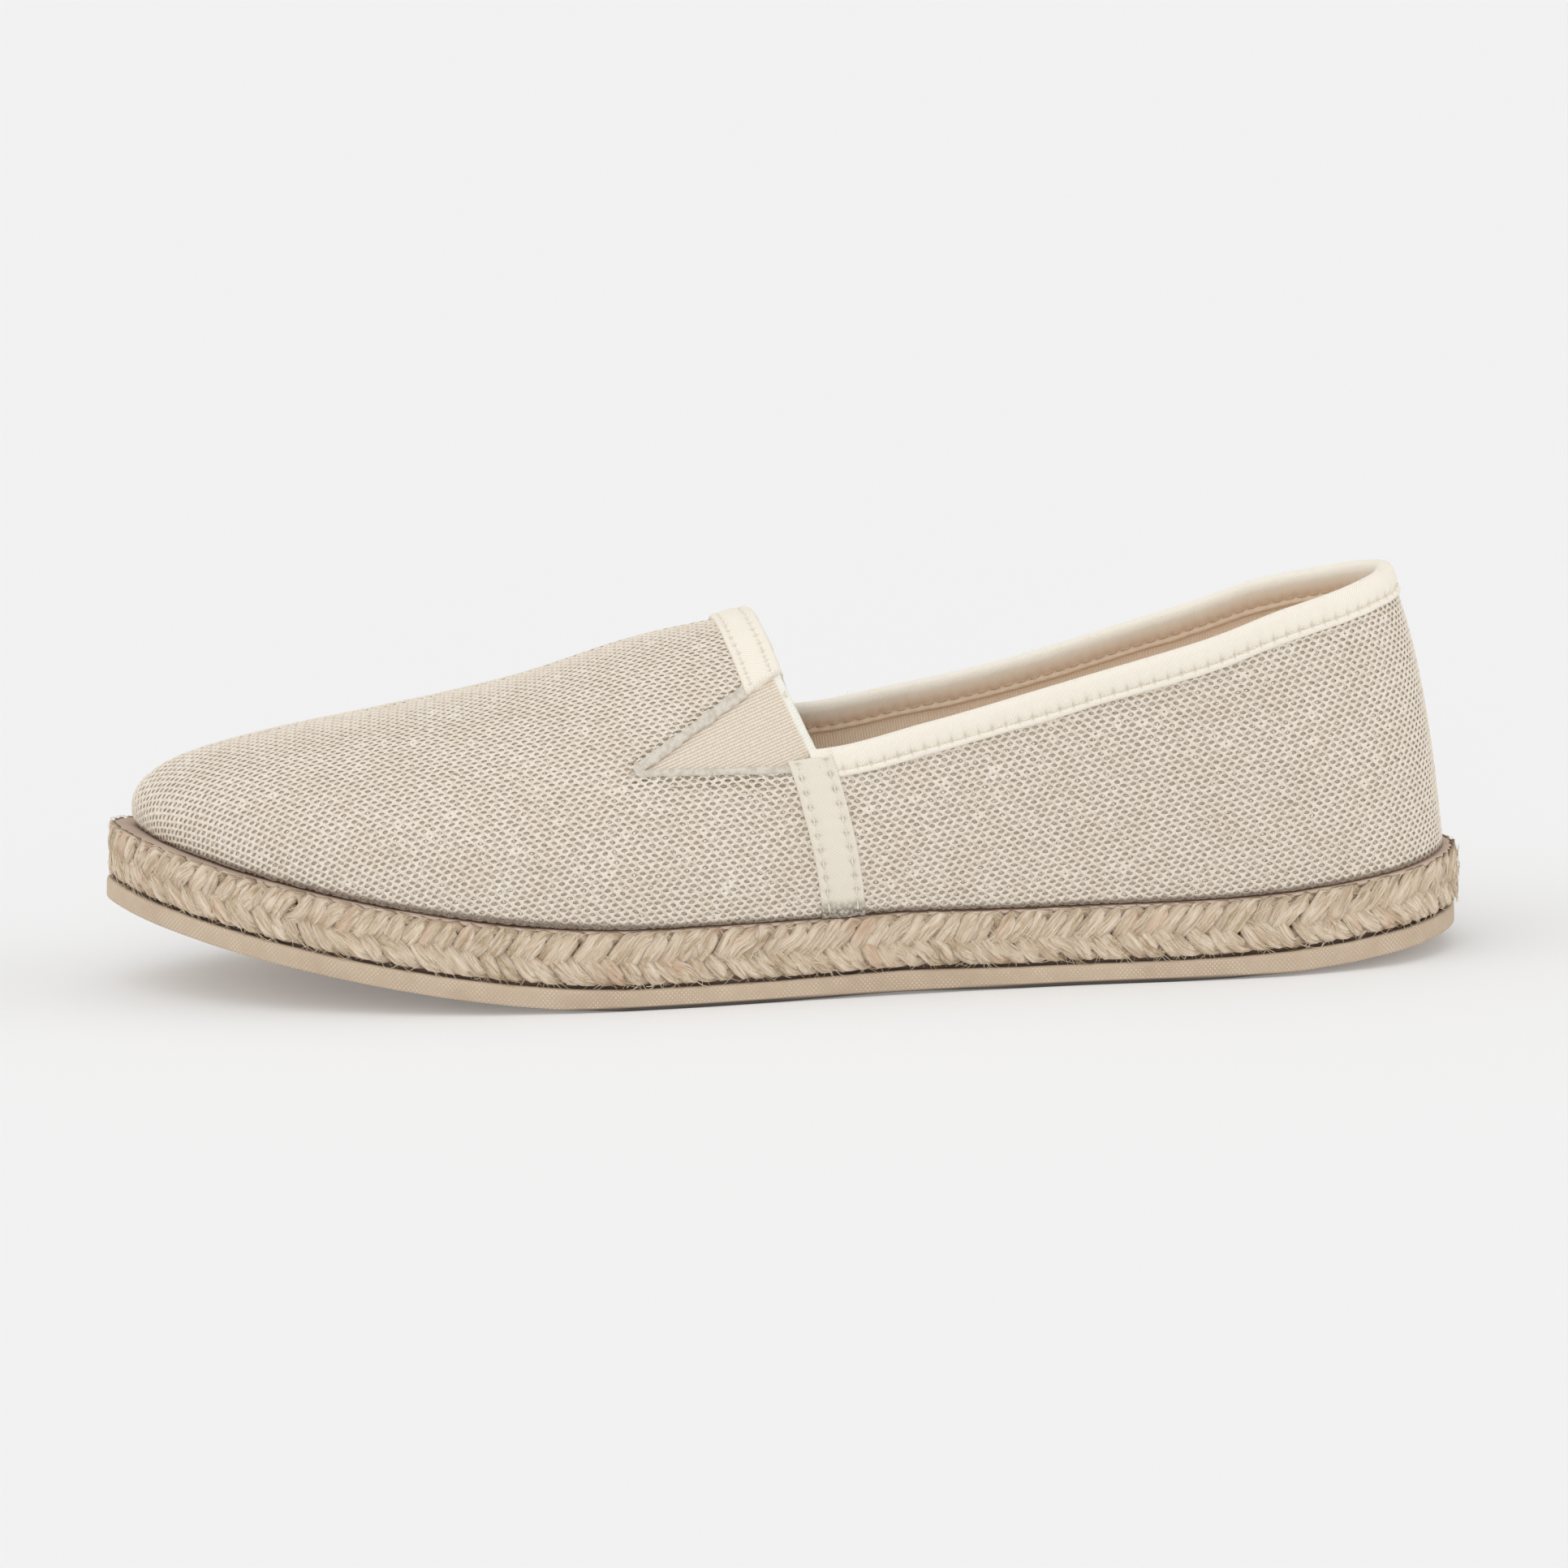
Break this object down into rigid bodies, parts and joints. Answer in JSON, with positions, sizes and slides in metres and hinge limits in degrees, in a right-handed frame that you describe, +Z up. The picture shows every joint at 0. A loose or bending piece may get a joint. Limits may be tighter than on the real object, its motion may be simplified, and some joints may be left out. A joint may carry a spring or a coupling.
{
  "type": "slip-on espadrille shoe",
  "caption": "Left slip-on shoe with a hollow air-mesh upper, elastic side gores, taped collar and a jute-braided rubber sole.",
  "frame": {"origin": "on the floor, at the middle of the shoe's length and width", "axes": "+Z up, -X towards the toe, +X towards the heel, -Y towards the outer side of the left foot"},
  "size_m": [0.2609, 0.086, 0.0744],
  "materials": {
    "outsole_rubber": "matt tan rubber",
    "midsole_foam": "matt taupe foam",
    "jute": "fibrous plaited jute",
    "insole_cloth": "ribbed taupe cloth",
    "mesh_cloth": "cream air mesh over taupe lining",
    "elastic": "beige woven elastic",
    "cotton_tape": "cream cotton twill tape"
  },
  "bodies": {
    "root": {"outsole": "outsole_rubber", "midsole": "midsole_foam", "jute_braid": "jute", "insole": "insole_cloth", "upper": "mesh_cloth", "gore_lateral": "elastic", "gore_medial": "elastic", "collar_binding": "cotton_tape", "vamp_tab": "cotton_tape", "side_strip_lateral": "cotton_tape", "side_strip_medial": "cotton_tape"}
  },
  "joints": []
}
